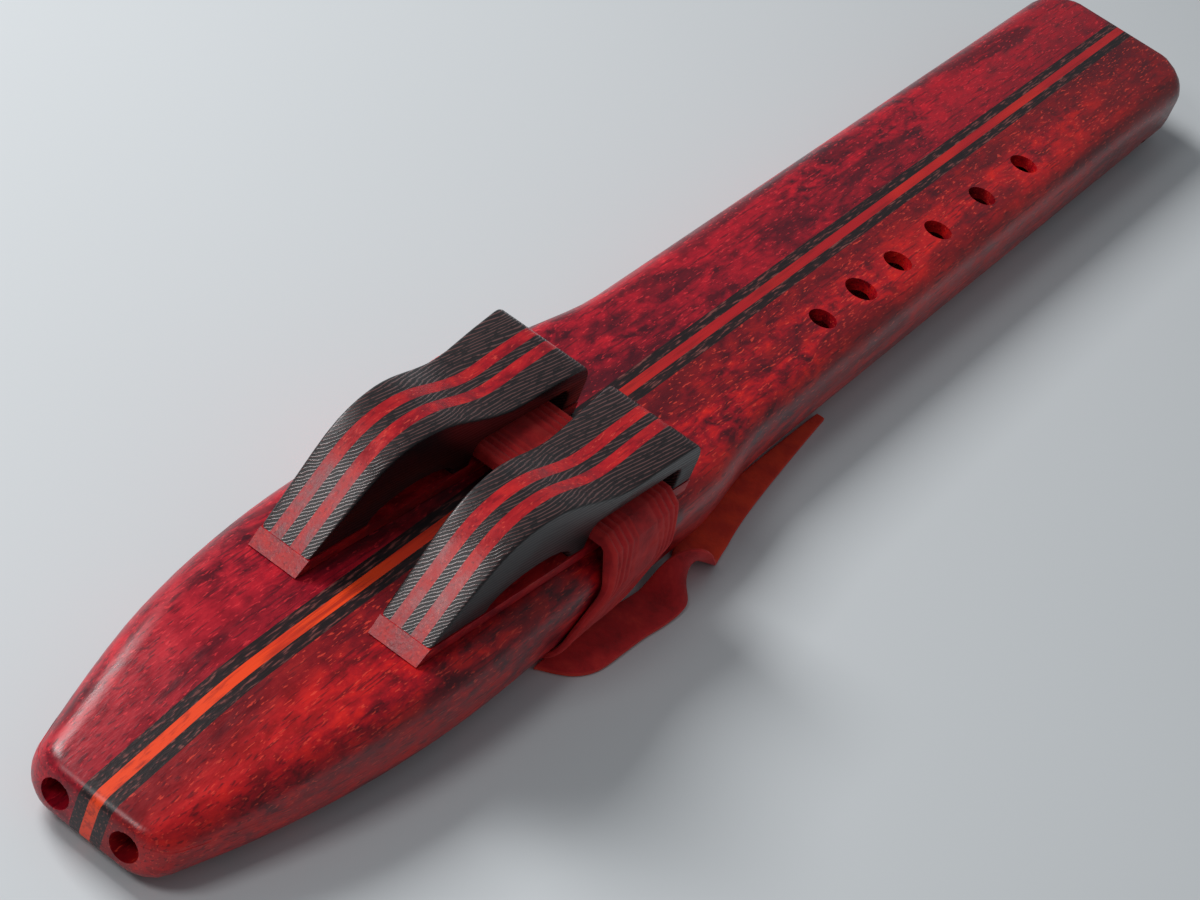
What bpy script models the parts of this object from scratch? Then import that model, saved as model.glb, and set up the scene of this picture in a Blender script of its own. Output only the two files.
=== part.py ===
# Double flute of laminated wood: two pipes side by side in one flat body, with a carved block over each
# windway and a suede lace that ties both blocks down.
# Metres, +Z up. The flute frame has x = 0 at the mouth end, y = 0 on the glued core strip and z = 0 on the
# flat top. Every piece hangs under the empty flute_frame, which stands the flute on the floor.

import math

import bmesh
import bpy
from mathutils import Vector

# Body
BODY_LENGTH = 0.606
BODY_THICKNESS = 0.027
BARREL_HALF_WIDTH = 0.0342
BELLY_HALF_WIDTH = 0.0393
MOUTH_HALF_WIDTH = 0.0200
BELLY_START = 0.120
SWELL_POWER = 0.85
SHOULDER_START = 0.222
SHOULDER_RUN = 0.048
SIDE_ROUND = 0.009
MOUTH_CORNER = 0.0065
MOUTH_TOP_EDGE = 0.003
MOUTH_UNDER_EDGE = 0.004
MOUTH_SLOPE = 0.20
MOUTH_SLOPE_RUN = 0.0495
MOUTH_SLOPE_BLEND = 0.008
MOUTH_UNDER_RISE = 0.0015
MOUTH_UNDER_RUN = 0.030
FOOT_CORNER = 0.013
FOOT_EDGE = 0.002
FOOT_WALL = 0.014
STRIP_WIDTH = 0.0032
GLUE_GAP = 0.0003

# Air ways
BORE_SPACING = 0.0392
BORE_DIAMETER = 0.019
MOUTH_BORE_SPACING = 0.0212
MOUTH_BORE_DIAMETER = 0.0086
MOUTH_BORE_DEPTH = 0.0172
MOUTH_BORE_LENGTH = 0.060
CHAMBER_TAPER = 0.016
PLUG_LENGTH = 0.012
EXIT_HOLE_LENGTH = 0.007
SOUND_HOLE_LENGTH = 0.007
SOUND_HOLE_BEHIND_BLOCK = 0.0015
WINDWAY_WIDTH = 0.009
WINDWAY_DEPTH = 0.001
WINDWAY_LENGTH = 0.028
FINGER_HOLE_PLACES = (0.3218, 0.3481, 0.3743, 0.4044, 0.4390, 0.4735)
FINGER_HOLE_DIAMETERS = (0.0094, 0.0110, 0.0100, 0.0099, 0.0099, 0.0101)
TUNING_HOLE_FROM_FOOT = 0.033
TUNING_HOLE_DIAMETER = 0.010
TUNING_HOLE_TILT = 38.0

# Blocks
BLOCK_FRONT = 0.0876
BLOCK_LENGTH = 0.1224
BLOCK_FRONT_HALF_WIDTH = 0.0077
BLOCK_REAR_HALF_WIDTH = 0.0157
BASE_PLATE_TOP = 0.0042
RED_LAMINA = 0.0036
MIDDLE_LAMINA = 0.0030
FRONT_RUN = 0.020
FRONT_RISE = 0.021
HUMP_FROM_FRONT = 0.042
HUMP_HEIGHT = 0.0296
VALLEY_FROM_REAR = 0.0344
VALLEY_HEIGHT = 0.0189
PEAK_FROM_REAR = 0.0184
PEAK_HEIGHT = 0.0196
REAR_ROUND = 0.0075
ARCH_FROM_FRONT = 0.0275
ARCH_LENGTH = 0.037
ARCH_HEIGHT = 0.0068
SLOT_REAR_WALL = 0.0087
SLOT_HEIGHT = 0.0088
SLOT_CORNER = 0.003
BLOCK_TRAVEL = 0.003
SEAT_GAP = 0.0003

# Suede lace
LACE_WIDTH = 0.036
LACE_STACK = 0.0046
LACE_THICKNESS = 0.0016
LACE_NECK_WIDTH = 0.013
LACE_LEAN = 0.025
LACE_LEAN_FROM = 0.27
LACE_GATHER_FROM = 0.56
LACE_CORNER_RADIUS = 0.00035

# The free tail's route on the floor, from under the body to its tip: x, y in the flute frame
TAIL_ROUTE = (
    (0.1515, -0.0372),
    (0.1540, -0.0398),
    (0.1575, -0.0420),
    (0.1625, -0.0434),
    (0.1710, -0.0439),
    (0.1820, -0.0445),
    (0.1930, -0.0457),
    (0.2030, -0.0459),
    (0.2120, -0.0449),
    (0.2210, -0.0430),
    (0.2310, -0.0408),
    (0.2420, -0.0389),
    (0.2540, -0.0375),
    (0.2680, -0.0364),
    (0.2830, -0.0355),
    (0.2980, -0.0347),
    (0.3110, -0.0341),
    (0.3170, -0.0339),
)
TAIL_TWIST_START = 0.196
TAIL_TWIST_END = 0.227
TAIL_TAPER_START = 0.236
TAIL_TIP_WIDTH = 0.003
TAIL_START_RUN = 0.012

CUT_MARGIN = 0.004
RING_SIDES = 28
CORNER_STEPS = 6

RED = (0.42, 0.015, 0.03)
CRIMSON = (0.50, 0.02, 0.035)
ORANGE = (0.80, 0.06, 0.01)
BLACK = (0.028, 0.020, 0.018)
SUEDE = (0.36, 0.012, 0.014)
PLAIN_WOOD = (0.45, 0.25, 0.12)

# What follows from the sizes above
mid_depth = -BODY_THICKNESS / 2
bore_side = BORE_SPACING / 2
block_rear = BLOCK_FRONT + BLOCK_LENGTH
slot_length = LACE_WIDTH + 2 * (BLOCK_TRAVEL + SEAT_GAP)
slot_end = block_rear - SLOT_REAR_WALL
slot_start = slot_end - slot_length
lace_place = (slot_start + slot_end) / 2
sound_hole_start = block_rear + SOUND_HOLE_BEHIND_BLOCK
exit_hole_end = sound_hole_start - WINDWAY_LENGTH
plug_start = exit_hole_end + (WINDWAY_LENGTH - PLUG_LENGTH) / 2
floor_level = -BODY_THICKNESS - SEAT_GAP - LACE_THICKNESS


def clear_scene():
    for old in list(bpy.data.objects):
        bpy.data.objects.remove(old, do_unlink=True)


def smooth_step(value):
    t = min(max(value, 0.0), 1.0)
    return t * t * (3 - 2 * t)


def corner_inset(radius, distance):
    """How far a rounded corner stands back at this distance from the end face."""
    if distance >= radius:
        return 0.0
    return radius - math.sqrt(radius**2 - (radius - max(distance, 0.0)) ** 2)


def make_material(name, colour, roughness):
    material = bpy.data.materials.new(name)
    material.use_nodes = True
    shader = material.node_tree.nodes["Principled BSDF"]
    shader.inputs["Base Color"].default_value = (*colour, 1.0)
    shader.inputs["Roughness"].default_value = roughness
    shader.inputs["Metallic"].default_value = 0.0
    return material


def add_object(name, mesh, parent, colour=None, roughness=0.35):
    thing = bpy.data.objects.new(name, mesh)
    bpy.context.collection.objects.link(thing)
    thing.parent = parent
    if colour is None:
        thing.hide_render = True
        thing.display_type = "WIRE"
    else:
        mesh.materials.append(make_material(name, colour, roughness))
    return thing


def finish_mesh(name, form):
    bmesh.ops.recalc_face_normals(form, faces=form.faces)
    mesh = bpy.data.meshes.new(name)
    form.to_mesh(mesh)
    form.free()
    mesh.shade_smooth()
    mesh.set_sharp_from_angle(angle=math.radians(35))
    return mesh


def ring_mesh(name, rings, closed=False):
    """One skin through rings of equal length, capped at both ends unless the rings close on themselves."""
    form = bmesh.new()
    loops = [[form.verts.new(point) for point in ring] for ring in rings]
    count = len(loops[0])
    pairs = list(zip(loops, loops[1:]))
    if closed:
        pairs.append((loops[-1], loops[0]))
    for first, second in pairs:
        for i in range(count):
            j = (i + 1) % count
            form.faces.new((first[i], first[j], second[j], second[i]))
    if not closed:
        form.faces.new(loops[0])
        form.faces.new(loops[-1])
    return finish_mesh(name, form)


def box_mesh(name, low, high):
    rings = []
    for x in (low[0], high[0]):
        rings.append([(x, low[1], low[2]), (x, high[1], low[2]), (x, high[1], high[2]), (x, low[1], high[2])])
    return ring_mesh(name, rings)


def round_mesh(name, start, end, radius):
    """A straight round bar from start to end."""
    axis = (Vector(end) - Vector(start)).normalized()
    side = axis.orthogonal().normalized()
    up = axis.cross(side)
    rings = []
    for centre in (Vector(start), Vector(end)):
        ring = []
        for i in range(RING_SIDES):
            angle = 2 * math.pi * i / RING_SIDES
            ring.append(centre + radius * (math.cos(angle) * side + math.sin(angle) * up))
        rings.append(ring)
    return ring_mesh(name, rings)


def add_boolean(thing, cutter, operation):
    modifier = thing.modifiers.new(cutter.name, "BOOLEAN")
    modifier.operation = operation
    modifier.solver = "EXACT"
    modifier.object = cutter


def half_width(x):
    """Half the body's plan width: it swells from the mouth to the belly, then steps in to the barrel."""
    swell = math.sin(math.pi / 2 * min(max(x, 0.0) / BELLY_START, 1.0)) ** SWELL_POWER
    width = MOUTH_HALF_WIDTH + (BELLY_HALF_WIDTH - MOUTH_HALF_WIDTH) * swell
    width -= (BELLY_HALF_WIDTH - BARREL_HALF_WIDTH) * smooth_step((x - SHOULDER_START) / SHOULDER_RUN)
    return width - corner_inset(MOUTH_CORNER, x) - corner_inset(FOOT_CORNER, BODY_LENGTH - x)


def top_level(x):
    """The flat top, which slopes down towards the mouth and is rounded over at both ends."""
    ahead = MOUTH_SLOPE_RUN - x
    slope = -0.5 * MOUTH_SLOPE * (ahead + math.sqrt(ahead**2 + MOUTH_SLOPE_BLEND**2))
    if ahead < -2 * MOUTH_SLOPE_BLEND:
        slope = 0.0
    return slope - corner_inset(MOUTH_TOP_EDGE, x) - corner_inset(FOOT_EDGE, BODY_LENGTH - x)


def under_level(x):
    rise = MOUTH_UNDER_RISE * (1 - smooth_step(x / MOUTH_UNDER_RUN))
    rounding = corner_inset(MOUTH_UNDER_EDGE, x) + corner_inset(FOOT_EDGE, BODY_LENGTH - x)
    return -BODY_THICKNESS + rise + rounding


def body_stations():
    """Places along the body where its section changes, closer together where it curves."""
    places = [MOUTH_CORNER * (1 - math.cos(math.pi / 2 * i / 5)) for i in range(6)]
    places += [MOUTH_CORNER + (BELLY_START - MOUTH_CORNER) * i / 14 for i in range(1, 15)]
    places += [SHOULDER_START + SHOULDER_RUN * i / 6 for i in range(7)]
    places += [BODY_LENGTH - FOOT_CORNER * (1 - math.cos(math.pi / 2 * i / 6)) for i in range(6, -1, -1)]
    return places


def body_section(x):
    """The body's outline across the pipes: a flat slab with rounded sides."""
    width, top, under = half_width(x), top_level(x), under_level(x)
    radius = min(SIDE_ROUND, 0.45 * (top - under), width)
    corners = (
        (width - radius, top - radius, 0),
        (-width + radius, top - radius, 90),
        (-width + radius, under + radius, 180),
        (width - radius, under + radius, 270),
    )
    ring = []
    for y, z, turn in corners:
        for i in range(CORNER_STEPS + 1):
            angle = math.radians(turn + 90 * i / CORNER_STEPS)
            ring.append((x, y + radius * math.cos(angle), z + radius * math.sin(angle)))
    return ring


def airway_mesh(name, side):
    """The hollow of one pipe: a narrow slanting mouth bore that opens into the straight bore, which ends
    before the foot."""
    stations = (
        (-CUT_MARGIN, MOUTH_BORE_DIAMETER / 2),
        (MOUTH_BORE_LENGTH, MOUTH_BORE_DIAMETER / 2),
        (MOUTH_BORE_LENGTH + CHAMBER_TAPER, BORE_DIAMETER / 2),
        (BODY_LENGTH - FOOT_WALL, BORE_DIAMETER / 2),
    )
    rings = []
    for x, radius in stations:
        share = min(x / (MOUTH_BORE_LENGTH + CHAMBER_TAPER), 1.0)
        y = MOUTH_BORE_SPACING / 2 + (bore_side - MOUTH_BORE_SPACING / 2) * share
        z = -MOUTH_BORE_DEPTH + (mid_depth + MOUTH_BORE_DEPTH) * share
        ring = []
        for i in range(RING_SIDES):
            angle = 2 * math.pi * (i + 0.5) / RING_SIDES
            ring.append((x, side * (y + radius * math.cos(angle)), z + radius * math.sin(angle)))
        rings.append(ring)
    return ring_mesh(name, rings)


def add_body(frame):
    blank_rings = [body_section(x) for x in body_stations()]
    seam = GLUE_GAP / 2
    reach = BELLY_HALF_WIDTH + CUT_MARGIN
    inner, outer = STRIP_WIDTH / 2, STRIP_WIDTH * 1.5
    far_x = BODY_LENGTH + CUT_MARGIN
    above, below = CUT_MARGIN, -BODY_THICKNESS - CUT_MARGIN

    def add_member(name, colour, y_range, z_range):
        thing = add_object(name, ring_mesh(name, blank_rings), frame, colour)
        low = (-CUT_MARGIN, y_range[0] + seam, z_range[0])
        high = (far_x, y_range[1] - seam, z_range[1])
        cutter = add_object(name + "_blank", box_mesh(name + "_blank", low, high), frame)
        add_boolean(thing, cutter, "INTERSECT")
        return thing

    add_member("core_strip", ORANGE, (-inner, inner), (below, above))
    add_member("left_black_strip", BLACK, (inner, outer), (below, above))
    add_member("right_black_strip", BLACK, (-outer, -inner), (below, above))

    for label, side in (("left", 1), ("right", -1)):
        y_range = (outer, reach) if side > 0 else (-reach, -outer)
        upper = add_member(label + "_upper_plank", CRIMSON, y_range, (mid_depth + seam, above))
        lower = add_member(label + "_lower_plank", RED, y_range, (below, mid_depth - seam))
        airway = add_object(label + "_airway", airway_mesh(label + "_airway", side), frame)
        add_boolean(upper, airway, "DIFFERENCE")
        add_boolean(lower, airway, "DIFFERENCE")
        add_windway(frame, upper, label, side)
        add_plug(frame, label, side)
        add_tuning_hole(frame, lower, label, side)
        if side < 0:
            add_finger_holes(frame, upper)


def add_windway(frame, plank, label, side):
    """Exit hole, shallow windway and sound hole, cut in that order under and behind the block."""
    y_low, y_high = side * bore_side - WINDWAY_WIDTH / 2, side * bore_side + WINDWAY_WIDTH / 2
    windway_start = exit_hole_end - EXIT_HOLE_LENGTH / 2
    windway_end = sound_hole_start + SOUND_HOLE_LENGTH / 2
    cuts = (
        ("exit_hole", exit_hole_end - EXIT_HOLE_LENGTH, exit_hole_end, mid_depth / 2),
        ("windway", windway_start, windway_end, -WINDWAY_DEPTH),
        ("sound_hole", sound_hole_start, sound_hole_start + SOUND_HOLE_LENGTH, mid_depth / 2),
    )
    for word, x_low, x_high, z_low in cuts:
        name = label + "_" + word
        mesh = box_mesh(name, (x_low, y_low, z_low), (x_high, y_high, CUT_MARGIN))
        add_boolean(plank, add_object(name, mesh, frame), "DIFFERENCE")


def add_plug(frame, label, side):
    """The round plug that parts the breath chamber from the sounding bore."""
    name = label + "_bore_plug"
    start = (plug_start, side * bore_side, mid_depth)
    end = (plug_start + PLUG_LENGTH, side * bore_side, mid_depth)
    mesh = round_mesh(name, start, end, BORE_DIAMETER / 2 - SEAT_GAP)
    add_object(name, mesh, frame, PLAIN_WOOD, 0.6)


def add_finger_holes(frame, plank):
    for number, (x, diameter) in enumerate(zip(FINGER_HOLE_PLACES, FINGER_HOLE_DIAMETERS), start=1):
        name = f"finger_hole_{number}"
        mesh = round_mesh(name, (x, -bore_side, mid_depth / 2), (x, -bore_side, CUT_MARGIN), diameter / 2)
        add_boolean(plank, add_object(name, mesh, frame), "DIFFERENCE")


def add_tuning_hole(frame, plank, label, side):
    """The tuning hole near the foot, drilled from the lower side. The bore's air leaves through it."""
    name = label + "_tuning_hole"
    tilt = math.radians(TUNING_HOLE_TILT)
    start = Vector((BODY_LENGTH - TUNING_HOLE_FROM_FOOT, side * bore_side, mid_depth))
    outward = Vector((0.0, side * math.cos(tilt), -math.sin(tilt)))
    inside = start + outward * BORE_DIAMETER * 0.4
    outside = start + outward * (BARREL_HALF_WIDTH - bore_side + CUT_MARGIN)
    mesh = round_mesh(name, inside, outside, TUNING_HOLE_DIAMETER / 2)
    add_boolean(plank, add_object(name, mesh, frame), "DIFFERENCE")


def block_half_width(x):
    share = (x - BLOCK_FRONT) / BLOCK_LENGTH
    return BLOCK_FRONT_HALF_WIDTH + (BLOCK_REAR_HALF_WIDTH - BLOCK_FRONT_HALF_WIDTH) * share


def block_top(x):
    """The carved profile: straight front slope, round hump, hollow valley and low rear peak."""
    run = x - BLOCK_FRONT
    valley = BLOCK_LENGTH - VALLEY_FROM_REAR
    peak = BLOCK_LENGTH - PEAK_FROM_REAR
    if run < FRONT_RUN:
        return FRONT_RISE * run / FRONT_RUN
    if run < HUMP_FROM_FRONT:
        span = HUMP_FROM_FRONT - FRONT_RUN
        t = (run - FRONT_RUN) / span
        start_pull = t * (1 - t) ** 2 * span * FRONT_RISE / FRONT_RUN
        return FRONT_RISE + (HUMP_HEIGHT - FRONT_RISE) * smooth_step(t) + start_pull
    if run < valley:
        t = smooth_step((run - HUMP_FROM_FRONT) / (valley - HUMP_FROM_FRONT))
        return HUMP_HEIGHT + (VALLEY_HEIGHT - HUMP_HEIGHT) * t
    t = smooth_step((run - valley) / (peak - valley))
    return VALLEY_HEIGHT + (PEAK_HEIGHT - VALLEY_HEIGHT) * t


def block_profile():
    """Outline of the laminae seen from the side, with the arch and the lace slot as notches below."""
    base = BASE_PLATE_TOP + GLUE_GAP
    toe = BLOCK_FRONT + base * FRONT_RUN / FRONT_RISE
    arch_start = BLOCK_FRONT + ARCH_FROM_FRONT
    outline = [(toe, base)]
    for i in range(11):
        angle = math.pi * (1 - i / 10)
        x = arch_start + ARCH_LENGTH / 2 * (1 + math.cos(angle))
        outline.append((x, base + ARCH_HEIGHT * math.sin(angle)))
    outline.append((slot_start, base))
    for x, turn in ((slot_start + SLOT_CORNER, 180), (slot_end - SLOT_CORNER, 90)):
        for i in range(4):
            angle = math.radians(turn - 30 * i)
            z = BASE_PLATE_TOP + SLOT_HEIGHT - SLOT_CORNER
            outline.append((x + SLOT_CORNER * math.cos(angle), z + SLOT_CORNER * math.sin(angle)))
    outline += [(slot_end, base), (block_rear, base)]
    for i in range(6):
        angle = math.radians(90 * i / 5)
        centre_x, centre_z = block_rear - REAR_ROUND, PEAK_HEIGHT - REAR_ROUND
        outline.append((centre_x + REAR_ROUND * math.cos(angle), centre_z + REAR_ROUND * math.sin(angle)))
    steps = 22
    crest_end = block_rear - REAR_ROUND
    crest_start = BLOCK_FRONT + FRONT_RUN
    for i in range(1, steps + 1):
        x = crest_end + (crest_start - crest_end) * i / steps
        outline.append((x, block_top(x)))
    return outline


def plate_profile():
    toe = FRONT_RUN / FRONT_RISE
    return [
        (BLOCK_FRONT + SEAT_GAP * toe, SEAT_GAP),
        (block_rear, SEAT_GAP),
        (block_rear, BASE_PLATE_TOP),
        (BLOCK_FRONT + BASE_PLATE_TOP * toe, BASE_PLATE_TOP),
    ]


def prism_mesh(name, outline, low_side, high_side):
    """The outline drawn in x and z, between two side faces whose y depends on x."""
    form = bmesh.new()
    low = [form.verts.new((x, low_side(x), z)) for x, z in outline]
    high = [form.verts.new((x, high_side(x), z)) for x, z in outline]
    form.faces.new(low)
    form.faces.new(high)
    for i in range(len(outline)):
        j = (i + 1) % len(outline)
        form.faces.new((low[i], low[j], high[j], high[i]))
    return finish_mesh(name, form)


def add_block(frame, label, side):
    """One block: five upright laminae on a base plate. Its empty lies on the line it slides along."""
    slide = bpy.data.objects.new(label + "_block_slide_line", None)
    bpy.context.collection.objects.link(slide)
    slide.parent = frame
    slide.location = (BLOCK_FRONT, side * bore_side, SEAT_GAP)
    centre = side * bore_side
    seam = GLUE_GAP / 2
    middle, red = MIDDLE_LAMINA / 2, MIDDLE_LAMINA / 2 + RED_LAMINA
    profile = block_profile()
    layers = (
        ("inner_black", BLACK, lambda x: -block_half_width(x), lambda x: -red - seam),
        ("inner_red", CRIMSON, lambda x: -red + seam, lambda x: -middle - seam),
        ("middle_black", BLACK, lambda x: -middle + seam, lambda x: middle - seam),
        ("outer_red", CRIMSON, lambda x: middle + seam, lambda x: red - seam),
        ("outer_black", BLACK, lambda x: red + seam, lambda x: block_half_width(x)),
    )
    for word, colour, near, far in layers:
        name = f"{label}_block_{word}"

        def place(distance, side=side, centre=centre):
            return lambda x: centre + side * distance(x)

        mesh = prism_mesh(name, profile, place(near), place(far))
        put_on_line(add_object(name, mesh, slide, colour), slide)
    name = label + "_block_base_plate"

    def plate_side(sign):
        return lambda x: centre + sign * block_half_width(x)

    mesh = prism_mesh(name, plate_profile(), plate_side(-1), plate_side(1))
    put_on_line(add_object(name, mesh, slide, CRIMSON), slide)


def put_on_line(thing, slide):
    """Moves a mesh drawn in the flute frame so that its origin lies on the slide line."""
    for vertex in thing.data.vertices:
        vertex.co -= slide.location


def tangent_turn(first, first_radius, second, second_radius):
    """Angle of the outward normal where a taut band leaves one round corner for the next."""
    step = Vector(second) - Vector(first)
    return math.atan2(step[1], step[0]) - math.acos((first_radius - second_radius) / step.length)


def lace_path():
    """Half of the lace's inner line, from over the bore plates down to the belly: y, z and outward angle."""
    plate_edge = bore_side + block_half_width(slot_end)
    plate_corner = (-plate_edge, BASE_PLATE_TOP)
    upper = (-BELLY_HALF_WIDTH + SIDE_ROUND, -SIDE_ROUND)
    lower = (-BELLY_HALF_WIDTH + SIDE_ROUND, -BODY_THICKNESS + SIDE_ROUND)
    body_radius = SIDE_ROUND + SEAT_GAP
    turn = math.degrees(tangent_turn(plate_corner, LACE_CORNER_RADIUS, upper, body_radius)) % 360
    stations = []
    for i in range(9):
        y = plate_corner[0] * i / 9
        stations.append((y, BASE_PLATE_TOP + LACE_CORNER_RADIUS, 90.0))
    arcs = (
        (plate_corner, LACE_CORNER_RADIUS, 90.0, turn, 6),
        (upper, body_radius, turn, 180.0, 3),
        (lower, body_radius, 180.0, 270.0, 8),
    )
    for centre, radius, start, end, steps in arcs:
        for i in range(steps + 1):
            angle = start + (end - start) * i / steps
            across = math.radians(angle)
            y = centre[0] + radius * math.cos(across)
            z = centre[1] + radius * math.sin(across)
            stations.append((y, z, angle))
    for i in range(1, 6):
        stations.append((lower[0] * (1 - i / 5), -BODY_THICKNESS - SEAT_GAP, 270.0))
    return stations


def band_ring(centre, across, outward, width, thickness):
    """A flat section with its corners taken off, standing on centre and thickening outwards."""
    half, edge = width / 2, 0.3 * min(thickness, LACE_THICKNESS)
    corners = (
        (-half + edge, 0.0),
        (half - edge, 0.0),
        (half, edge),
        (half, thickness - edge),
        (half - edge, thickness),
        (-half + edge, thickness),
        (-half, thickness - edge),
        (-half, edge),
    )
    return [centre + across * a + outward * b for a, b in corners]


def add_lace_wrap(frame):
    """The band through both slots and round the belly: wide and folded in the slots, gathered below."""
    half = lace_path()
    lengths = [0.0]
    for first, second in zip(half, half[1:]):
        lengths.append(lengths[-1] + math.hypot(second[0] - first[0], second[1] - first[1]))
    slot_exit = lengths[9]
    belly = lengths[-6]
    run = belly - slot_exit
    rings = []
    for (y, z, angle), length in zip(half, lengths):
        down = (length - slot_exit) / run
        lean = LACE_LEAN * smooth_step((down - LACE_LEAN_FROM) / (1 - LACE_LEAN_FROM))
        gather = smooth_step((down - LACE_GATHER_FROM) / (1 - LACE_GATHER_FROM))
        width = LACE_WIDTH + (LACE_NECK_WIDTH - LACE_WIDTH) * gather
        thickness = LACE_STACK + (LACE_THICKNESS - LACE_STACK) * smooth_step(down / 0.6)
        outward = Vector((0.0, math.cos(math.radians(angle)), math.sin(math.radians(angle))))
        rings.append((Vector((lace_place - lean, y, z)), outward, width, thickness))
    mirrored = []
    for centre, outward, width, thickness in reversed(rings[1:-1]):
        flipped = Vector((centre.x, -centre.y, centre.z))
        mirrored.append((flipped, Vector((0.0, -outward.y, outward.z)), width, thickness))
    across = Vector((1.0, 0.0, 0.0))
    sections = [band_ring(c, across, n, w, t) for c, n, w, t in rings + mirrored]
    add_object("lace_wrap", ring_mesh("lace_wrap", sections, closed=True), frame, SUEDE, 0.85)


def smooth_route(points, steps):
    """A smooth curve through the points, with a few steps between each pair."""
    ends = [points[0] * 2 - points[1]] + points + [points[-1] * 2 - points[-2]]
    route = []
    for before, start, end, after in zip(ends, ends[1:], ends[2:], ends[3:]):
        for i in range(steps):
            t = i / steps
            pull = (end - before) * 0.5
            next_pull = (after - start) * 0.5
            bend = 2 * t**3 - 3 * t**2
            route.append(
                start * (1 + bend) - end * bend
                + pull * (t**3 - 2 * t**2 + t)
                + next_pull * (t**3 - t**2)
            )
    route.append(points[-1])
    return route


def add_lace_tail(frame):
    """The lace's free end: it lies flat on the floor, turns over once and runs out to a cut tip."""
    route = smooth_route([Vector((x, y, 0.0)) for x, y in TAIL_ROUTE], 3)
    rings = []
    for i, point in enumerate(route):
        ahead = route[min(i + 1, len(route) - 1)] - route[max(i - 1, 0)]
        along = ahead.normalized()
        level = Vector((-along.y, along.x, 0.0))
        turn = math.pi * smooth_step((point.x - TAIL_TWIST_START) / (TAIL_TWIST_END - TAIL_TWIST_START))
        taper = (point.x - TAIL_TAPER_START) / (TAIL_ROUTE[-1][0] - TAIL_TAPER_START)
        width = LACE_NECK_WIDTH + (TAIL_TIP_WIDTH - LACE_NECK_WIDTH) * min(max(taper, 0.0), 1.0)
        beside = Vector((1.0, 0.0, 0.0)).lerp(level, smooth_step((point - route[0]).length / TAIL_START_RUN))
        across = beside.normalized() * math.cos(turn) + Vector((0.0, 0.0, math.sin(turn)))
        outward = across.cross(along).normalized()
        half_height = width / 2 * abs(math.sin(turn)) + LACE_THICKNESS / 2 * abs(math.cos(turn))
        centre = Vector((point.x, point.y, floor_level + half_height))
        rings.append(band_ring(centre - outward * LACE_THICKNESS / 2, across, outward, width, LACE_THICKNESS))
    add_object("lace_tail", ring_mesh("lace_tail", rings), frame, SUEDE, 0.85)


def main():
    clear_scene()
    frame = bpy.data.objects.new("flute_frame", None)
    bpy.context.collection.objects.link(frame)
    frame.location = (-BODY_LENGTH / 2, 0.0, -floor_level)
    add_body(frame)
    add_block(frame, "left", 1)
    add_block(frame, "right", -1)
    add_lace_wrap(frame)
    add_lace_tail(frame)


main()
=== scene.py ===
import math

import bmesh
import bpy
import numpy as np
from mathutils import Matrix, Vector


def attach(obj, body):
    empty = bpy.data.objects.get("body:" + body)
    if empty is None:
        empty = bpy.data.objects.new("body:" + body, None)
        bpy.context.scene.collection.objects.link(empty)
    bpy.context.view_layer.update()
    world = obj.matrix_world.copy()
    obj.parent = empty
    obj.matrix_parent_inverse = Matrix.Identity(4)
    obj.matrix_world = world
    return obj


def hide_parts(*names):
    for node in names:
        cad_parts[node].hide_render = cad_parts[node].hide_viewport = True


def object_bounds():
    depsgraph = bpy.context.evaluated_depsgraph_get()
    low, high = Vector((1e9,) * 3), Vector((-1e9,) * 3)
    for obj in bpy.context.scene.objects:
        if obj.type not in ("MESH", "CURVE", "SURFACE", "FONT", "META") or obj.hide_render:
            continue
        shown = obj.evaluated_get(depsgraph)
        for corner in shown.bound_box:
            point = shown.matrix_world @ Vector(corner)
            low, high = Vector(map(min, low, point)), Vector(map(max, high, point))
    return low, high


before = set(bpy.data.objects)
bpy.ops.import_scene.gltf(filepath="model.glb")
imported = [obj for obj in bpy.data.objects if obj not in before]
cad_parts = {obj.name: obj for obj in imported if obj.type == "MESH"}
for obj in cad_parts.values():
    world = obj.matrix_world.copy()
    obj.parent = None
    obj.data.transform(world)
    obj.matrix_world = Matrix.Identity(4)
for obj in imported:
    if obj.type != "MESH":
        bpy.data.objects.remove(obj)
cadBounds = [list(corner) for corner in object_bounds()]

# The part's own datums, in metres: the flat top's height, and glue lines measured from it and from the middle
topHeight = 0.0289
fluteOrigin = np.array([cadBounds[0][0], 0.0, topHeight])
glueGap = 0.0003
bodySeams = {"y": (0.0016, 0.0048), "z": (-0.0135,)}
blockSeams = {"y": (0.0015, 0.0051), "z": (0.00435,)}
noSeams = {"y": (), "z": ()}
pipeSide = 0.0196


# Camera

cameraSettings = {
    "place": (-0.73963, -0.2229, 0.52573),
    "turn": (51.1563, -18.9751, -56.9222),  # degrees about X, Y and Z
    "lens": 90.0,
    "sensor": 36.0,
}


def makeCamera(settings):
    data = bpy.data.cameras.new("photoView")
    data.lens = settings["lens"]
    data.sensor_width = settings["sensor"]
    data.clip_start = 0.01
    camera = bpy.data.objects.new("photoView", data)
    camera.location = settings["place"]
    camera.rotation_euler = [math.radians(angle) for angle in settings["turn"]]
    bpy.context.scene.collection.objects.link(camera)
    bpy.context.scene.camera = camera


makeCamera(cameraSettings)
print("camera placed")


# Helpers for node materials

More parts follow.
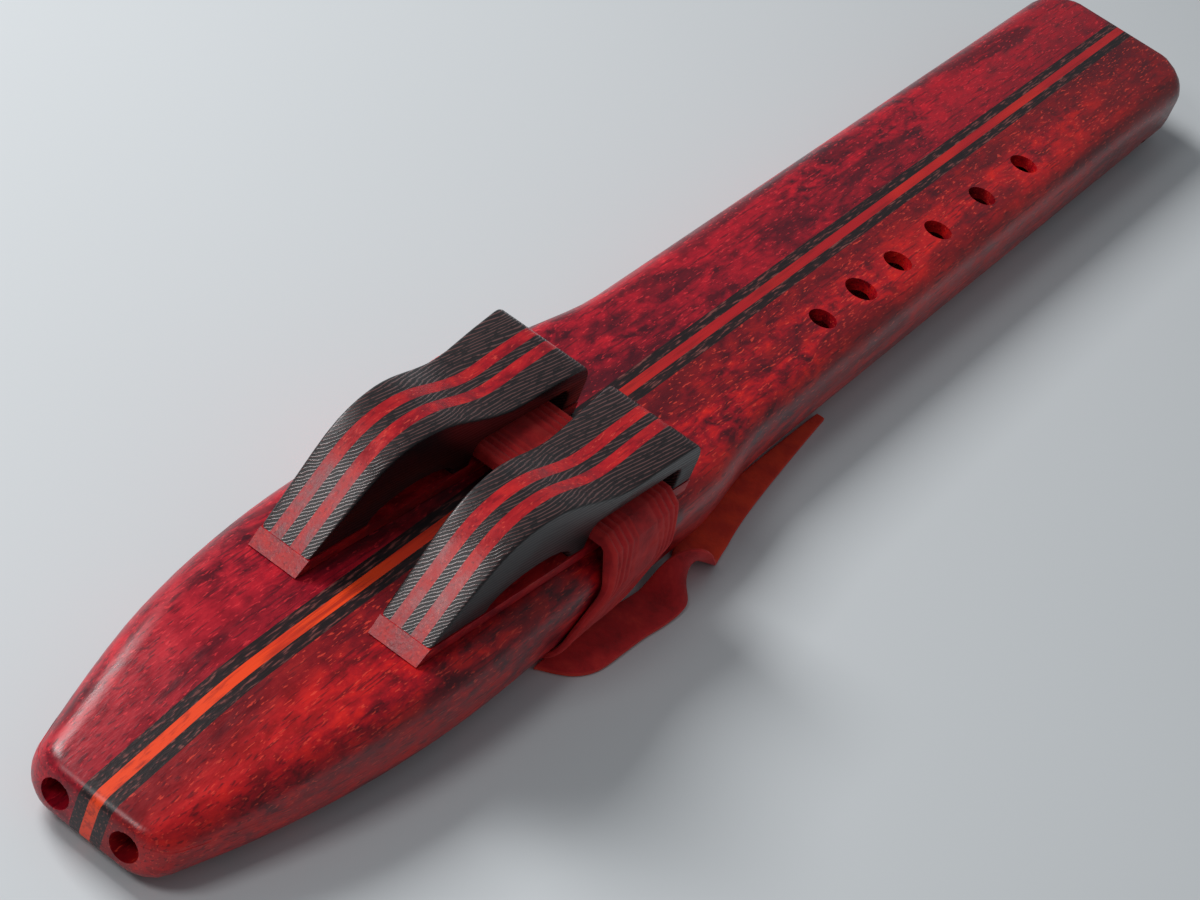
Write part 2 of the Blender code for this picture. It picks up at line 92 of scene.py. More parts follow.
# One material and short ways to add nodes to it
class Shade:
    def __init__(self, name):
        self.material = bpy.data.materials.new(name)
        self.material.use_nodes = True
        self.tree = self.material.node_tree
        self.surface = self.tree.nodes["Principled BSDF"]
        self.place = self.add("ShaderNodeTexCoord").outputs["Object"]

    def add(self, kind, **settings):
        node = self.tree.nodes.new(kind)
        for name, value in settings.items():
            setattr(node, name, value)
        return node

    # Links an output, or sets a plain number or colour
    def feed(self, socket, value):
        if isinstance(value, bpy.types.NodeSocket):
            self.tree.links.new(value, socket)
        else:
            socket.default_value = value

    # Object coordinates, scaled and turned about Z
    def stretched(self, scale, turn):
        node = self.add("ShaderNodeMapping")
        self.feed(node.inputs["Vector"], self.place)
        node.inputs["Scale"].default_value = scale
        node.inputs["Rotation"].default_value = (0.0, 0.0, turn)
        return node.outputs["Vector"]

    def noise(self, scale, stretch=None, turn=0.0, detail=4.0, roughness=0.55, distortion=0.0):
        node = self.add("ShaderNodeTexNoise")
        self.feed(node.inputs["Vector"], self.stretched(stretch, turn) if stretch else self.place)
        node.inputs["Scale"].default_value = scale
        node.inputs["Detail"].default_value = detail
        node.inputs["Roughness"].default_value = roughness
        node.inputs["Distortion"].default_value = distortion
        return node.outputs["Fac"]

    def waves(self, scale, stretch, turn, distortion, detail, detailScale):
        node = self.add("ShaderNodeTexWave", bands_direction="DIAGONAL")
        self.feed(node.inputs["Vector"], self.stretched(stretch, turn))
        node.inputs["Scale"].default_value = scale
        node.inputs["Distortion"].default_value = distortion
        node.inputs["Detail"].default_value = detail
        node.inputs["Detail Scale"].default_value = detailScale
        return node.outputs["Fac"]

    # Colours at their places along 0 to 1
    def ramp(self, value, places, colours):
        node = self.add("ShaderNodeValToRGB")
        self.feed(node.inputs["Fac"], value)
        marks = node.color_ramp.elements
        while len(marks) < len(places):
            marks.new(1.0)
        for mark, place, colour in zip(marks, places, colours):
            mark.position = place
            mark.color = (*colour, 1.0)
        return node.outputs["Color"]

    # Smooth step from lowOut to highOut between low and high
    def level(self, value, low, high, lowOut=0.0, highOut=1.0):
        node = self.add("ShaderNodeMapRange", interpolation_type="SMOOTHSTEP")
        self.feed(node.inputs["Value"], value)
        node.inputs["From Min"].default_value = low
        node.inputs["From Max"].default_value = high
        node.inputs["To Min"].default_value = lowOut
        node.inputs["To Max"].default_value = highOut
        return node.outputs["Result"]

    def mix(self, factor, first, second):
        node = self.add("ShaderNodeMix", data_type="RGBA")
        self.feed(node.inputs["Factor"], factor)
        self.feed(node.inputs["A"], (*first, 1.0) if isinstance(first, tuple) else first)
        self.feed(node.inputs["B"], (*second, 1.0) if isinstance(second, tuple) else second)
        return node.outputs["Result"]

    def calculate(self, operation, *values):
        node = self.add("ShaderNodeMath", operation=operation)
        for socket, value in zip(node.inputs, values):
            self.feed(socket, value)
        return node.outputs["Value"]

    # One axis of a vector, which is the Object coordinates unless another is given
    def axis(self, name, vector=None):
        node = self.add("ShaderNodeSeparateXYZ")
        self.feed(node.inputs["Vector"], vector or self.place)
        return node.outputs[name]

    def attribute(self, name):
        return self.add("ShaderNodeAttribute", attribute_name=name).outputs["Fac"]

    # Bump of a given depth in metres
    def relief(self, height, depth, strength):
        node = self.add("ShaderNodeBump")
        self.feed(node.inputs["Height"], height)
        node.inputs["Distance"].default_value = depth
        node.inputs["Strength"].default_value = strength
        self.feed(self.surface.inputs["Normal"], node.outputs["Normal"])

    # Finishes the material: its colour, and each other input of the shader by its name
    def finish(self, colour, **inputs):
        self.feed(self.surface.inputs["Base Color"], colour)
        for name, value in inputs.items():
            self.feed(self.surface.inputs[name.replace("_", " ")], value)
        return self.material


# Woods

redWoodLooks = {
    "left": {
        "dark": (0.060, 0.0010, 0.0075), "main": (0.300, 0.0015, 0.0140), "bright": (0.520, 0.0040, 0.0170),
        "fleck": (0.760, 0.0300, 0.0420), "flame": 0.80, "flameTurn": 0.35, "heart": 0.25,
    },
    "right": {
        "dark": (0.070, 0.0010, 0.0060), "main": (0.340, 0.0018, 0.0100), "bright": (0.660, 0.0100, 0.0070),
        "fleck": (0.820, 0.0650, 0.0350), "flame": 0.60, "flameTurn": 0.04, "heart": 0.60,
    },
    "block": {
        "dark": (0.200, 0.0020, 0.0090), "main": (0.400, 0.0035, 0.0120), "bright": (0.580, 0.0140, 0.0130),
        "fleck": (0.740, 0.0700, 0.0450), "flame": 0.25, "flameTurn": 0.0, "heart": 0.0,
    },
}

# Figure that the three red woods share. Each range is where a noise starts to show, and where it is full.
redWoodFigure = {
    "mottle": {
        "scale": 210.0, "stretch": (0.45, 1.0, 1.0), "turn": 0.05, "roughness": 0.65, "distortion": 0.3,
    },
    "mottlePlaces": (0.36, 0.50, 0.66),
    "broad": {"scale": 16.0, "stretch": (0.6, 1.4, 1.4), "detail": 2.0},
    "broadRange": (0.44, 0.60), "broadMost": 0.45,
    "flames": {"scale": 42.0, "stretch": (0.30, 1.5, 1.5), "roughness": 0.6, "distortion": 0.8},
    "flameRange": (0.48, 0.62),
    "pores": {"scale": 1300.0, "stretch": (0.07, 1.0, 1.0), "turn": 0.03, "detail": 2.0, "roughness": 0.5},
    "poreRange": (0.56, 0.68), "poreMost": 0.65, "poreDepth": 0.00010, "poreStrength": 0.5,
    "flecks": {"scale": 1500.0, "stretch": (0.22, 1.0, 1.0), "turn": 0.06, "detail": 2.0, "roughness": 0.5},
    "fleckRange": (0.60, 0.70), "fleckMost": 0.60,
    "heartRange": (0.008, 0.017),  # metres to the side of the middle
    "footRange": (0.16, 0.29),  # metres along
    "oilRange": (0.3, 0.7), "oil": (0.30, 0.42), "gloss": 0.42,
}


# Mottled crimson: long flames, a fine mottle, dark pores along the grain and short bright flecks
def redWood(name, looks, figure):
    shade = Shade(name)
    dark, bright = looks["dark"], looks["bright"]
    mottle = shade.noise(**figure["mottle"])
    colour = shade.ramp(mottle, figure["mottlePlaces"], (dark, looks["main"], bright))
    broad = shade.noise(**figure["broad"])
    colour = shade.mix(shade.level(broad, *figure["broadRange"], 0.0, figure["broadMost"]), colour, bright)
    flames = shade.noise(turn=looks["flameTurn"], **figure["flames"])
    colour = shade.mix(shade.level(flames, *figure["flameRange"], 0.0, looks["flame"]), colour, dark)
    if looks["heart"]:  # darker beside the strips and towards the foot
        aside = shade.calculate("ABSOLUTE", shade.axis("Y"))
        colour = shade.mix(shade.level(aside, *figure["heartRange"], looks["heart"], 0.0), colour, dark)
        along = shade.axis("X")
        colour = shade.mix(shade.level(along, *figure["footRange"], 0.0, looks["heart"]), colour, dark)
    pores = shade.noise(**figure["pores"])
    colour = shade.mix(shade.level(pores, *figure["poreRange"], 0.0, figure["poreMost"]), colour, dark)
    flecks = shade.noise(**figure["flecks"])
    fleckCover = shade.level(flecks, *figure["fleckRange"], 0.0, figure["fleckMost"])
    colour = shade.mix(fleckCover, colour, looks["fleck"])
    shade.relief(pores, figure["poreDepth"], figure["poreStrength"])
    oil = shade.level(mottle, *figure["oilRange"], *figure["oil"])
    return shade.finish(colour, Roughness=oil, Specular_IOR_Level=figure["gloss"])


orangeWoodLooks = {
    "mouth": (0.900, 0.0600, 0.0060), "foot": (0.430, 0.0050, 0.0100), "turnsRed": (-0.22, -0.02),
    "streaks": {"scale": 700.0, "stretch": (0.05, 1.0, 1.0), "detail": 3.0, "roughness": 0.6},
    "streakRange": (0.46, 0.66), "streakMost": 0.6, "streak": (0.220, 0.0030, 0.0050),
    "patches": {"scale": 26.0, "stretch": (0.6, 1.0, 1.0), "detail": 2.0},
    "patchRange": (0.50, 0.66), "patchMost": 0.5, "patch": (0.760, 0.0250, 0.0080),
    "roughness": 0.38, "depth": 0.0001, "strength": 0.4,
}


# Bright orange at the mouth, dark red past the blocks, with streaks along the grain
def orangeWood(looks):
    shade = Shade("orange_core_wood")
    colour = shade.mix(shade.level(shade.axis("X"), *looks["turnsRed"]), looks["mouth"], looks["foot"])
    streaks = shade.noise(**looks["streaks"])
    streakCover = shade.level(streaks, *looks["streakRange"], 0.0, looks["streakMost"])
    colour = shade.mix(streakCover, colour, looks["streak"])
    patches = shade.noise(**looks["patches"])
    patchCover = shade.level(patches, *looks["patchRange"], 0.0, looks["patchMost"])
    colour = shade.mix(patchCover, colour, looks["patch"])
    shade.relief(streaks, looks["depth"], looks["strength"])
    return shade.finish(colour, Roughness=looks["roughness"])


stripWoodLooks = {
    "flecks": {"scale": 1500.0, "stretch": (0.11, 1.0, 1.0), "detail": 2.0},
    "places": (0.44, 0.57, 0.68),
    "colours": ((0.0090, 0.0035, 0.0045), (0.0260, 0.0080, 0.0090), (0.2000, 0.0550, 0.0480)),
    "roughness": 0.38, "depth": 0.0001, "strength": 0.5,
}


# Dark strips with short pink-brown flecks along the grain
def stripWood(looks):
    shade = Shade("dark_strip_wood")
    flecks = shade.noise(**looks["flecks"])
    shade.relief(flecks, looks["depth"], looks["strength"])
    return shade.finish(shade.ramp(flecks, looks["places"], looks["colours"]), Roughness=looks["roughness"])


blockWoodLooks = {
    "lines": {
        "scale": 620.0, "stretch": (0.12, 1.0, 0.9), "turn": 0.06,
        "distortion": 7.0, "detail": 2.0, "detailScale": 0.35,
    },
    "lineRange": (0.60, 0.98), "lineMost": 0.75,
    "sideRange": (0.4, 0.9),  # how far a face turns sideways before the lines are lost
    "dark": (0.0100, 0.0070, 0.0080), "pale": (0.1500, 0.0680, 0.0640), "gap": (0.0060, 0.0045, 0.0055),
    "breaks": {"scale": 800.0, "stretch": (0.35, 1.0, 1.0), "detail": 2.0, "roughness": 0.6},
    "breakRange": (0.50, 0.64), "breakMost": 0.80,
    "oilRange": (0.2, 0.9), "oil": (0.46, 0.28), "depth": 0.00012, "strength": 0.6,
}


# Near black wood. Its pale growth lines wind over the carved faces and are lost on the flat sides.
def blockWood(looks):
    shade = Shade("dark_block_wood")
    lines = shade.waves(**looks["lines"])
    normal = shade.add("ShaderNodeNewGeometry").outputs["Normal"]
    sideways = shade.calculate("ABSOLUTE", shade.axis("Y", normal))
    shown = shade.level(sideways, *looks["sideRange"], 1.0, 0.0)
    pale = shade.calculate("MULTIPLY", shade.level(lines, *looks["lineRange"], 0.0, looks["lineMost"]), shown)
    colour = shade.mix(pale, looks["dark"], looks["pale"])
    breaks = shade.noise(**looks["breaks"])
    breakCover = shade.level(breaks, *looks["breakRange"], 0.0, looks["breakMost"])
    colour = shade.mix(breakCover, colour, looks["gap"])
    shade.relief(pale, looks["depth"], looks["strength"])
    return shade.finish(colour, Roughness=shade.level(lines, *looks["oilRange"], *looks["oil"]))


plugWoodLooks = {
    "grain": {"scale": 500.0, "stretch": (0.2, 1.0, 1.0)},
    "places": (0.3, 0.7), "colours": ((0.26, 0.13, 0.06), (0.50, 0.30, 0.15)),
    "roughness": 0.6, "depth": 0.0001, "strength": 0.6,
}


def plugWood(looks):
    shade = Shade("plain_plug_wood")
    grain = shade.noise(**looks["grain"])
    shade.relief(grain, looks["depth"], looks["strength"])
    return shade.finish(shade.ramp(grain, looks["places"], looks["colours"]), Roughness=looks["roughness"])


# Each wood's material, and the record's slot that it stands for
woods = {
    "left": (redWood("crimson_left_wood", redWoodLooks["left"], redWoodFigure), "red_wood"),
    "right": (redWood("crimson_right_wood", redWoodLooks["right"], redWoodFigure), "red_wood"),
    "block": (redWood("crimson_block_wood", redWoodLooks["block"], redWoodFigure), "red_wood"),
    "core": (orangeWood(orangeWoodLooks), "orange_wood"),
    "strip": (stripWood(stripWoodLooks), "black_wood"),
    "dark": (blockWood(blockWoodLooks), "black_wood"),
    "plug": (plugWood(plugWoodLooks), "plug_wood"),
}
print("woods made")


# Wooden pieces: merged copies of the solids, with the glue lines closed and smooth rounded stretches

dressSettings = {
    "mergeDistance": 0.000005, "seamReach": 0.6 * glueGap, "sharpCorner": 32.0, "flatAngle": 0.5,
    "rimWidth": 0.0009, "rimSegments": 3, "rimCorner": 60.0,  # angles in degrees
}


# Moves points that lie half a glue gap from a glue line onto it, on both sides of the middle
def closeSeams(points, seams, centre):
    reach = dressSettings["seamReach"]
    for line in seams["y"]:
        for side in (-1, 1):
            seam = centre + side * line
            points[np.abs(points[:, 1] - seam) < reach, 1] = seam
    for line in seams["z"]:
        seam = topHeight + line
        points[np.abs(points[:, 2] - seam) < reach, 2] = seam
    return points


# Rounds the sharp edges of a lamina's outer face, which stands furthest from the block's middle
def roundRim(form, centre):
    bmesh.ops.dissolve_limit(
        form, angle_limit=math.radians(dressSettings["flatAngle"]), verts=form.verts, edges=form.edges,
    )
    lastSeam = max(blockSeams["y"])
    rim = [
        edge for edge in form.edges
        if len(edge.link_faces) == 2
        and min(abs(vertex.co.y - centre) for vertex in edge.verts) > lastSeam + 2 * glueGap
        and math.degrees(edge.calc_face_angle(0.0)) > dressSettings["rimCorner"]
    ]
    bmesh.ops.bevel(
        form, geom=rim, offset=dressSettings["rimWidth"], segments=dressSettings["rimSegments"],
        profile=0.5, affect="EDGES",
    )


def dressNode(node, body, wood, seams, centre=0.0):
    form = bmesh.new()
    form.from_mesh(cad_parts[node].data)
    bmesh.ops.remove_doubles(form, verts=form.verts, dist=dressSettings["mergeDistance"])
    if node.endswith(("inner_black", "outer_black")):
        roundRim(form, centre)
    form.verts.index_update()
    points = closeSeams(np.array([vertex.co[:] for vertex in form.verts]), seams, centre)
    faces = [[vertex.index for vertex in face.verts] for face in form.faces]
    form.free()
    mesh = bpy.data.meshes.new(node + "_wood")
    mesh.from_pydata(points.tolist(), [], faces)
    material, slot = woods[wood]
    mesh.materials.append(material)
    mesh.shade_smooth()
    mesh.set_sharp_from_angle(angle=math.radians(dressSettings["sharpCorner"]))
    piece = bpy.data.objects.new(node + "_wood", mesh)
    bpy.context.scene.collection.objects.link(piece)
    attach(piece, body)
    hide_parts(node)


for side, pipeCentre in (("left", pipeSide), ("right", -pipeSide)):
    for layer in ("upper", "lower"):
        dressNode(f"{side}_{layer}_plank", "root", side, bodySeams)
    dressNode(f"{side}_black_strip", "root", "strip", bodySeams)
    dressNode(f"{side}_bore_plug", "root", "plug", noSeams)
    block = f"{side}_block"
    for lamina in ("inner", "middle", "outer"):
        dressNode(f"{block}_{lamina}_black", block, "dark", blockSeams, pipeCentre)
    for lamina in ("inner", "outer"):
        dressNode(f"{block}_{lamina}_red", block, "block", blockSeams, pipeCentre)
    dressNode(f"{block}_base_plate", block, "block", blockSeams, pipeCentre)
dressNode("core_strip", "root", "core", bodySeams)
print("wood dressed")


# Suede lace

suedeLooks = {
    # The pale nap colour serves both the random pale patches and the painted highlight on crests and edges
    "nap": (0.560, 0.0090, 0.0130), "napDark": (0.330, 0.0035, 0.0070), "napPaleAndHighlight": (0.720, 0.0300, 0.0240),
    "grain": (0.840, 0.0480, 0.0090), "grainDark": (0.620, 0.0220, 0.0060),
    "fibres": {"scale": 900.0, "roughness": 0.6}, "fibreRange": (0.40, 0.62), "fibreMost": 0.5,
    "patches": {"scale": 120.0, "detail": 3.0, "roughness": 0.6},
    "napPlaces": (0.32, 0.52, 0.72), "grainPlaces": (0.34, 0.60),
    # Painted highlight on the crests and edges: where it starts to show, where it is full, and its most
    "highlightRange": (0.35, 1.0), "highlightMost": 0.45,
    "roughness": 0.85, "sheen": 0.25, "sheenRoughness": 0.5, "sheenTint": (1.0, 0.35, 0.35, 1.0),
    "depth": 0.00025, "strength": 0.6,
}


# Fuzzy crimson nap with random pale patches and a painted highlight on its crests and edges, and a smoother
# orange-red grain side
def suede(looks):
    shade = Shade("crimson_suede")
    patches = shade.noise(**looks["patches"])
    fibres = shade.noise(**looks["fibres"])
    fuzzy = shade.ramp(patches, looks["napPlaces"], (looks["napDark"], looks["nap"], looks["napPaleAndHighlight"]))
    fibreCover = shade.level(fibres, *looks["fibreRange"], 0.0, looks["fibreMost"])
    fuzzy = shade.mix(fibreCover, fuzzy, looks["nap"])
    smooth = shade.ramp(patches, looks["grainPlaces"], (looks["grainDark"], looks["grain"]))
    colour = shade.mix(shade.attribute("grainSide"), fuzzy, smooth)
    # Painted highlight: the pale nap colour laid over the gathers' crests, the rolled edge and the tail's
    # edges
    paintedHighlight = shade.level(shade.attribute("paintedHighlight"), *looks["highlightRange"], 0.0, looks["highlightMost"])
    colour = shade.mix(paintedHighlight, colour, looks["napPaleAndHighlight"])
    shade.relief(fibres, looks["depth"], looks["strength"])
    return shade.finish(
        colour, Roughness=looks["roughness"], Sheen_Weight=looks["sheen"],
        Sheen_Roughness=looks["sheenRoughness"], Sheen_Tint=looks["sheenTint"],
    )


laceMaterial = suede(suedeLooks)


def smoothStep(values):
    t = np.clip(values, 0.0, 1.0)
    return t * t * (3 - 2 * t)


# Outline of a rounded oblong, -1 to 1 each way: cosine and sine of the phase, each raised to a power below 1
def roundedOblong(around, acrossPower, risePower):
    phase = np.linspace(0.0, 2 * np.pi, around, endpoint=False)
    across = np.sign(np.cos(phase)) * np.abs(np.cos(phase)) ** acrossPower
    rise = np.sign(np.sin(phase)) * np.abs(np.sin(phase)) ** risePower
    return across, rise


# Skin over a grid of points, one row to a station. Rows close on themselves; the last station meets the
# first where joined, and otherwise both ends are closed with one face.
def suedePiece(name, node, points, joined, attributes):
    stations, around = points.shape[:2]
    index = np.arange(stations * around).reshape(stations, around)
    first = index if joined else index[:-1]
    second = np.roll(index, -1, axis=0) if joined else index[1:]
    faces = np.stack([first, np.roll(first, -1, axis=1), np.roll(second, -1, axis=1), second], axis=-1)
    faces = faces.reshape(-1, 4).tolist()
    if not joined:
        faces += [index[0, ::-1].tolist(), index[-1].tolist()]
    mesh = bpy.data.meshes.new(name)
    mesh.from_pydata(points.reshape(-1, 3).tolist(), [], faces)
    form = bmesh.new()
    form.from_mesh(mesh)
    bmesh.ops.recalc_face_normals(form, faces=form.faces)
    form.to_mesh(mesh)
    form.free()
    for word, values in attributes.items():
        layer = mesh.attributes.new(word, "FLOAT", "POINT")
        layer.data.foreach_set("value", np.ascontiguousarray(values, dtype=np.float32).ravel())
    mesh.shade_smooth()
    mesh.materials.append(laceMaterial)
    piece = bpy.data.objects.new(name, mesh)
    bpy.context.scene.collection.objects.link(piece)
    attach(piece, "root")
    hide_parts(node)
    return piece


# The band's places are y and z in the flute frame, and its ranges are shares of the way down the side
wrapSettings = {
    "place": 0.180, "width": 0.036, "neck": 0.013, "gatherFrom": 0.56, "lean": 0.025, "leanFrom": 0.27,
    "stack": 0.0046, "thickness": 0.0016, "thinBy": 0.6,
    "cornerRadius": 0.0093, "sideRadius": 0.00035,
    "plateCorner": (0.03473, 0.0042), "upperCorner": (0.0303, -0.0090), "lowerCorner": (0.0303, -0.0180),
    "stations": 420, "around": 160, "cornerSteps": 24, "acrossPower": 0.45, "risePower": 0.35,
    "ridges": 13.0, "ridge": 0.00075, "ridgeMiddle": 0.6, "ridgeLoss": 0.55,
    "sway": 0.25, "swayTurns": 9.0, "swayStart": 1.3, "shiver": 0.18, "shiverAcross": 4.0, "shiverDown": 14.0,
    "roll": 0.0007, "rollPlace": -0.93, "rollWidth": 0.08, "rollFull": 0.0006,
}


# A band pulled round circles (y, z, radius), anticlockwise: straight tangents and arcs, resampled evenly.
# Gives y, z and the outward normal's angle at each station, and the length of the loop.
def tautLoop(circles, settings):
    turns = []
    for (y, z, radius), (nextY, nextZ, nextRadius) in zip(circles, circles[1:] + circles[:1]):
        reach = math.hypot(nextY - y, nextZ - z)
        heading = math.atan2(nextZ - z, nextY - y)
        turns.append(heading - math.acos((radius - nextRadius) / reach))
    turns = np.unwrap(np.array([turns[-1]] + turns))
    points, angles = [], []
    for (y, z, radius), start, end in zip(circles, turns, turns[1:]):
        sweep = np.linspace(start, end, settings["cornerSteps"])
        points.append(np.column_stack([y + radius * np.cos(sweep), z + radius * np.sin(sweep)]))
        angles.append(sweep)
    points, angles = np.vstack(points), np.concatenate(angles)
    points = np.vstack([points, points[:1]])
    angles = np.append(angles, angles[0] + 2 * math.pi)
    lengths = np.concatenate([[0.0], np.cumsum(np.hypot(*np.diff(points, axis=0).T))])
    evenly = np.linspace(0.0, lengths[-1], settings["stations"], endpoint=False)
    y, z, angle = (np.interp(evenly, lengths, values) for values in (points[:, 0], points[:, 1], angles))
    return y, z, angle, lengths[-1]


# Band section carried round the loop. Across the band the outer face rises in rounded gathers, each the
# absolute value of a sine, and the front edge is rolled over. Width, lean and thickness follow the distance
# down from the slot's mouth.
def makeWrap(settings):
    radius, edge = settings["cornerRadius"], settings["sideRadius"]
    plate, upper, lower = settings["plateCorner"], settings["upperCorner"], settings["lowerCorner"]
    circles = [
        (-plate[0], plate[1], edge), (-upper[0], upper[1], radius), (-lower[0], lower[1], radius),
        (lower[0], lower[1], radius), (upper[0], upper[1], radius), (plate[0], plate[1], edge),
    ]
    y, z, angle, length = tautLoop(circles, settings)
    top = int(np.argmin(np.where(z < 0, np.inf, np.abs(y))))  # the loop starts in the middle of its upper run
    y, z, angle = (np.roll(values, -top) for values in (y, z, angle))
    distance = np.arange(len(y)) * length / len(y)
    distance = np.minimum(distance, length - distance)
    down = np.clip((distance - plate[0]) / (length / 2 - lower[0] - plate[0]), 0.0, 1.0)
    lean = settings["lean"] * smoothStep((down - settings["leanFrom"]) / (1 - settings["leanFrom"]))
    gather = smoothStep((down - settings["gatherFrom"]) / (1 - settings["gatherFrom"]))
    half = 0.5 * (settings["width"] + (settings["neck"] - settings["width"]) * gather)
    thinning = smoothStep(down / settings["thinBy"])
    thick = settings["stack"] + (settings["thickness"] - settings["stack"]) * thinning

    across, rise = roundedOblong(settings["around"], settings["acrossPower"], settings["risePower"])
    rise = 0.5 + 0.5 * rise
    outer = smoothStep((rise - 0.5) * 2)
    sway = settings["sway"] * np.sin(settings["swayTurns"] * down + settings["swayStart"])
    shiver = np.sin(settings["shiverAcross"] * across + settings["shiverDown"] * down[:, None])
    wobble = sway[:, None] + settings["shiver"] * shiver
    wave = np.abs(np.sin(np.pi * (settings["ridges"] * 0.5 * (across[None, :] + 1) + wobble)))
    middle = settings["ridgeMiddle"]
    ridgeHeight = settings["ridge"] * (1 - settings["ridgeLoss"] * gather)
    ridge = ridgeHeight[:, None] * (wave - middle) * outer[None, :]
    bulge = np.exp(-(((across - settings["rollPlace"]) / settings["rollWidth"]) ** 2))
    rolled = settings["roll"] * (1 - gather)[:, None] * bulge[None, :] * outer[None, :]

    height = thick[:, None] * rise[None, :] + ridge + rolled
    x = settings["place"] - lean[:, None] + half[:, None] * across[None, :]
    points = np.stack([
        x,
        y[:, None] + height * np.cos(angle)[:, None],
        z[:, None] + height * np.sin(angle)[:, None],
    ], axis=-1) + fluteOrigin
    under = topHeight + lower[1] - radius - settings["thickness"]
    points[..., 2] = np.maximum(points[..., 2], under)  # the underside lies flat on the floor
    # Painted highlight: the gathers' crests and the rolled front edge are marked here to be coloured pale
    paintedHighlight = np.clip((wave - middle) / (1 - middle), 0, 1) * outer[None, :]
    paintedHighlight = paintedHighlight + np.clip(rolled / settings["rollFull"], 0, 1)
    suedePiece("suede_wrap", "lace_wrap", points, True, {"grainSide": np.zeros(x.shape), "paintedHighlight": paintedHighlight})


# Places are x and y in the flute frame, and the floor is z there
tailSettings = {
    "floor": -topHeight, "width": 0.013, "tip": 0.003, "thickness": 0.0016,
    "twist": (0.196, 0.227), "taperStart": 0.236, "startRun": 0.012,
    "stations": 260, "around": 40, "edgePower": 0.35, "edgeFrom": 0.93,
    "route": (
        (0.1515, -0.0372), (0.1540, -0.0398), (0.1575, -0.0420), (0.1625, -0.0434), (0.1710, -0.0439),
        (0.1820, -0.0445), (0.1930, -0.0457), (0.2030, -0.0459), (0.2120, -0.0449), (0.2210, -0.0430),
        (0.2310, -0.0408), (0.2420, -0.0389), (0.2540, -0.0375), (0.2680, -0.0364), (0.2830, -0.0355),
        (0.2980, -0.0347), (0.3110, -0.0341), (0.3170, -0.0339),
    ),
}


# A curve through the route's points, each pair joined by a cubic whose slopes come from its neighbours
def smoothRoute(points, stations):
    knots = np.array(points)
    ends = np.vstack([2 * knots[0] - knots[1], knots, 2 * knots[-1] - knots[-2]])
    place = np.linspace(0.0, len(knots) - 1, stations)
    span = np.minimum(place.astype(int), len(knots) - 2)
    t = (place - span)[:, None]
    before, start, end, after = (ends[span + shift] for shift in range(4))
    bend = 2 * t**3 - 3 * t**2
    pull, nextPull = (end - before) * 0.5, (after - start) * 0.5
    return start * (1 + bend) - end * bend + pull * (t**3 - 2 * t**2 + t) + nextPull * (t**3 - t**2)


def unit(vectors):
    return vectors / np.linalg.norm(vectors, axis=1)[:, None]


# Flat section carried along the route. It turns half over between the twist's two places, stands on its
# edge there, and narrows to the tip. Its first edge lies along X, under the wrap.
def makeTail(settings):
    route = smoothRoute(settings["route"], settings["stations"])
    along = unit(np.gradient(route, axis=0))
    level = np.column_stack([-along[:, 1], along[:, 0]])
    share = smoothStep(np.linalg.norm(route - route[0], axis=1) / settings["startRun"])[:, None]
    beside = unit(np.array([[1.0, 0.0]]) * (1 - share) + level * share)
    twistStart, twistEnd = settings["twist"]
    turn = np.pi * smoothStep((route[:, 0] - twistStart) / (twistEnd - twistStart))
    last = settings["route"][-1][0]
    taper = np.clip((route[:, 0] - settings["taperStart"]) / (last - settings["taperStart"]), 0.0, 1.0)
    width = settings["width"] + (settings["tip"] - settings["width"]) * taper
    thick = settings["thickness"]
    across = np.column_stack([beside * np.cos(turn)[:, None], np.sin(turn)])
    outward = unit(np.cross(across, np.column_stack([along, np.zeros(len(along))])))
    lift = width / 2 * np.abs(np.sin(turn)) + thick / 2 * np.abs(np.cos(turn))
    centre = np.column_stack([route, settings["floor"] + lift])

    u, v = roundedOblong(settings["around"], settings["edgePower"], settings["edgePower"])
    points = (
        centre[:, None, :]
        + across[:, None, :] * (0.5 * width[:, None] * u[None, :])[..., None]
        + outward[:, None, :] * (0.5 * thick * v)[None, :, None]
        + fluteOrigin
    )
    points[..., 2] = np.maximum(points[..., 2], 0.0)
    grainSide = np.tile(v > 0, (len(route), 1))
    # Painted highlight along the band's two narrow edges
    paintedHighlight = np.tile(np.abs(u) > settings["edgeFrom"], (len(route), 1))
    piece = suedePiece("suede_tail", "lace_tail", points, False, {"grainSide": grainSide, "paintedHighlight": paintedHighlight})


makeWrap(wrapSettings)
makeTail(tailSettings)
print("lace made")


# Floor and light

floorSettings = {
    "size": 6.0, "colour": (0.640, 0.670, 0.690), "shadeBy": 0.97, "cloud": {"scale": 3.0, "detail": 2.0},
    "roughness": 0.5, "gloss": 0.3,
}

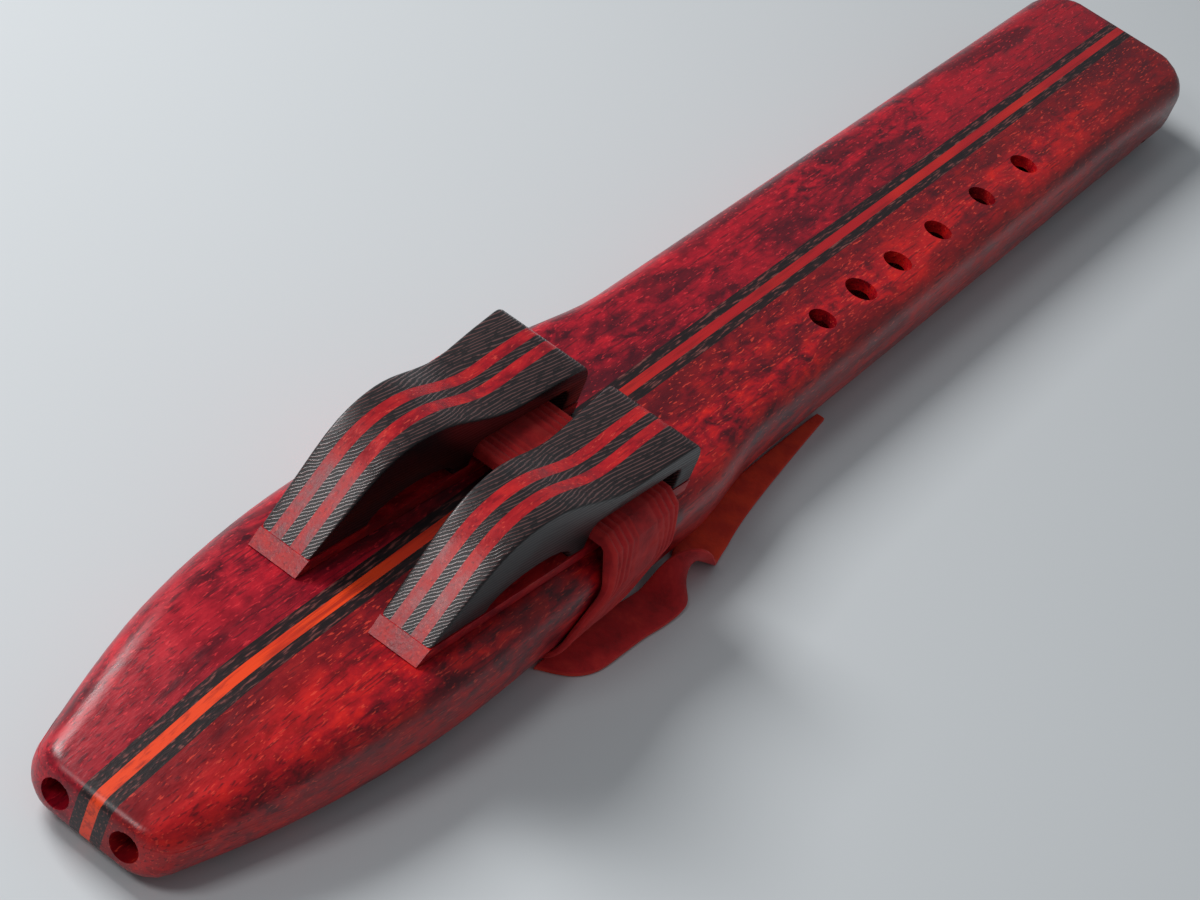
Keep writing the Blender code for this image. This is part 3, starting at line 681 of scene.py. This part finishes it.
lampSettings = {
    "windowKey": {
        "place": (-0.10, 1.05, 0.95), "target": (0.0, 0.0, 0.0), "size": (0.6, 0.6), "power": 18.0,
    },
    "slopeLight": {
        "place": (-0.85, 0.27, 0.78), "target": (-0.19, 0.0, 0.04), "size": (0.25, 0.25), "power": 2.5,
    },
}

worldSettings = {"colour": (0.90, 0.95, 1.0, 1.0), "strength": 0.20}


def makeFloor(settings):
    half = settings["size"] / 2
    mesh = bpy.data.meshes.new("paleTable")
    corners = [(-half, -half, 0.0), (half, -half, 0.0), (half, half, 0.0), (-half, half, 0.0)]
    mesh.from_pydata(corners, [], [(0, 1, 2, 3)])
    shade = Shade("pale_table")
    pale = settings["colour"]
    darker = tuple(value * settings["shadeBy"] for value in pale)
    colour = shade.mix(shade.noise(**settings["cloud"]), pale, darker)
    material = shade.finish(colour, Roughness=settings["roughness"], Specular_IOR_Level=settings["gloss"])
    mesh.materials.append(material)
    floor = bpy.data.objects.new("paleTable", mesh)
    bpy.context.scene.collection.objects.link(floor)


# A rectangular area lamp at its place, turned to face its target
def makeLamp(name, settings):
    data = bpy.data.lights.new(name, "AREA")
    data.shape = "RECTANGLE"
    data.size, data.size_y = settings["size"]
    data.energy = settings["power"]
    lamp = bpy.data.objects.new(name, data)
    lamp.location = settings["place"]
    direction = np.array(settings["target"]) - np.array(settings["place"])
    flat = math.hypot(direction[0], direction[1])
    heading = math.atan2(direction[1], direction[0])
    lamp.rotation_euler = (math.atan2(flat, -direction[2]), 0.0, heading - math.pi / 2)
    bpy.context.scene.collection.objects.link(lamp)


def makeWorld(settings):
    world = bpy.data.worlds.new("studio")
    bpy.context.scene.world = world
    world.use_nodes = True
    background = world.node_tree.nodes["Background"]
    background.inputs["Color"].default_value = settings["colour"]
    background.inputs["Strength"].default_value = settings["strength"]


makeFloor(floorSettings)
for lampName, settings in lampSettings.items():
    makeLamp(lampName, settings)
makeWorld(worldSettings)
bpy.context.scene.view_settings.view_transform = "Standard"
print("stage set")
